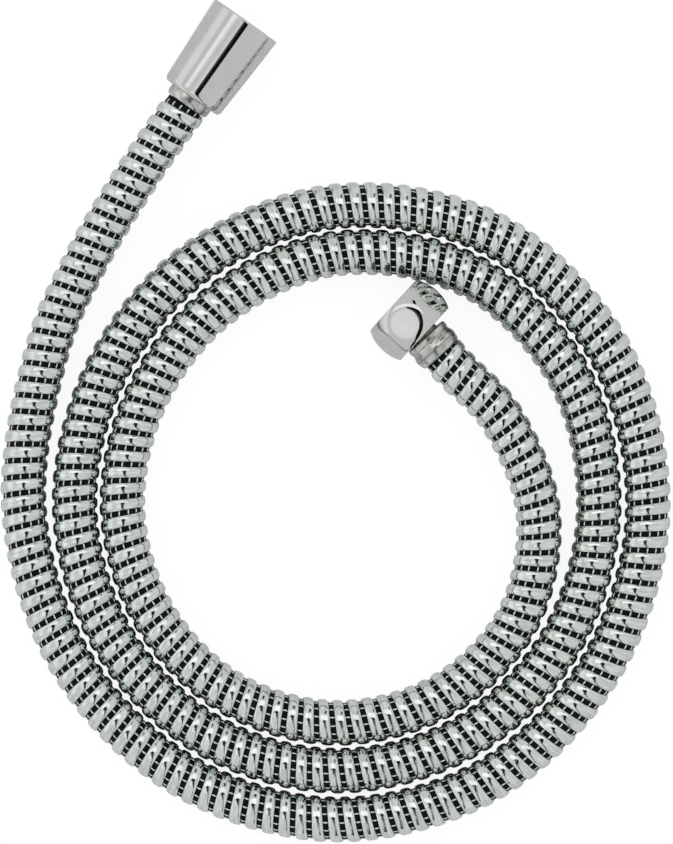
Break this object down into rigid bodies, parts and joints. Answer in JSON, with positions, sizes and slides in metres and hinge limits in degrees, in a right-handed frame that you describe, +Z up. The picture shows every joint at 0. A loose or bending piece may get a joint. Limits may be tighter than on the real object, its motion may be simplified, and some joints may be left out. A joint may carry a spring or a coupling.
{
  "type": "shower hose",
  "caption": "Ribbed flexible shower hose wound into a loose flat spiral, with a conical union nut on its outer end and a hexagonal union nut on its inner end.",
  "frame": {"origin": "centre of the box in plan, on the surface that the coiled hose lies on", "axes": "+Z up, +Y towards the conical nut's side of the spiral, +X to the right in the view from above"},
  "size_m": [0.2156, 0.2712, 0.025],
  "materials": {
    "ribbed_jacket": "silver helical ribs over a near-black core with fine pale yarns",
    "water_tube": "satin black plastic",
    "chrome": "polished chrome plate",
    "rubber_washer": "matt black rubber",
    "brass_tail": "turned brass",
    "ferrule": "satin silver"
  },
  "bodies": {
    "hose": {"hose_jacket": "ribbed_jacket", "water_tube": "water_tube", "cone_washer": "rubber_washer", "cone_tail": "brass_tail", "cone_ferrule": "ferrule", "hex_washer": "rubber_washer", "hex_tail": "brass_tail", "hex_ferrule": "ferrule"},
    "cone_nut": {"cone_nut": "chrome"},
    "hex_nut": {"hex_nut": "chrome"}
  },
  "joints": [
    {"name": "cone_nut_spin", "type": "hinge", "parent": "hose", "child": "cone_nut", "pos_m": [-0.03179, 0.12471, 0.0119], "axis": [0.5785, 0.8141, 0.0513], "continuous": true},
    {"name": "hex_nut_spin", "type": "hinge", "parent": "hose", "child": "hex_nut", "pos_m": [0.02206, 0.03391, 0.0125], "axis": [-0.7361, 0.6769, 0], "continuous": true}
  ]
}
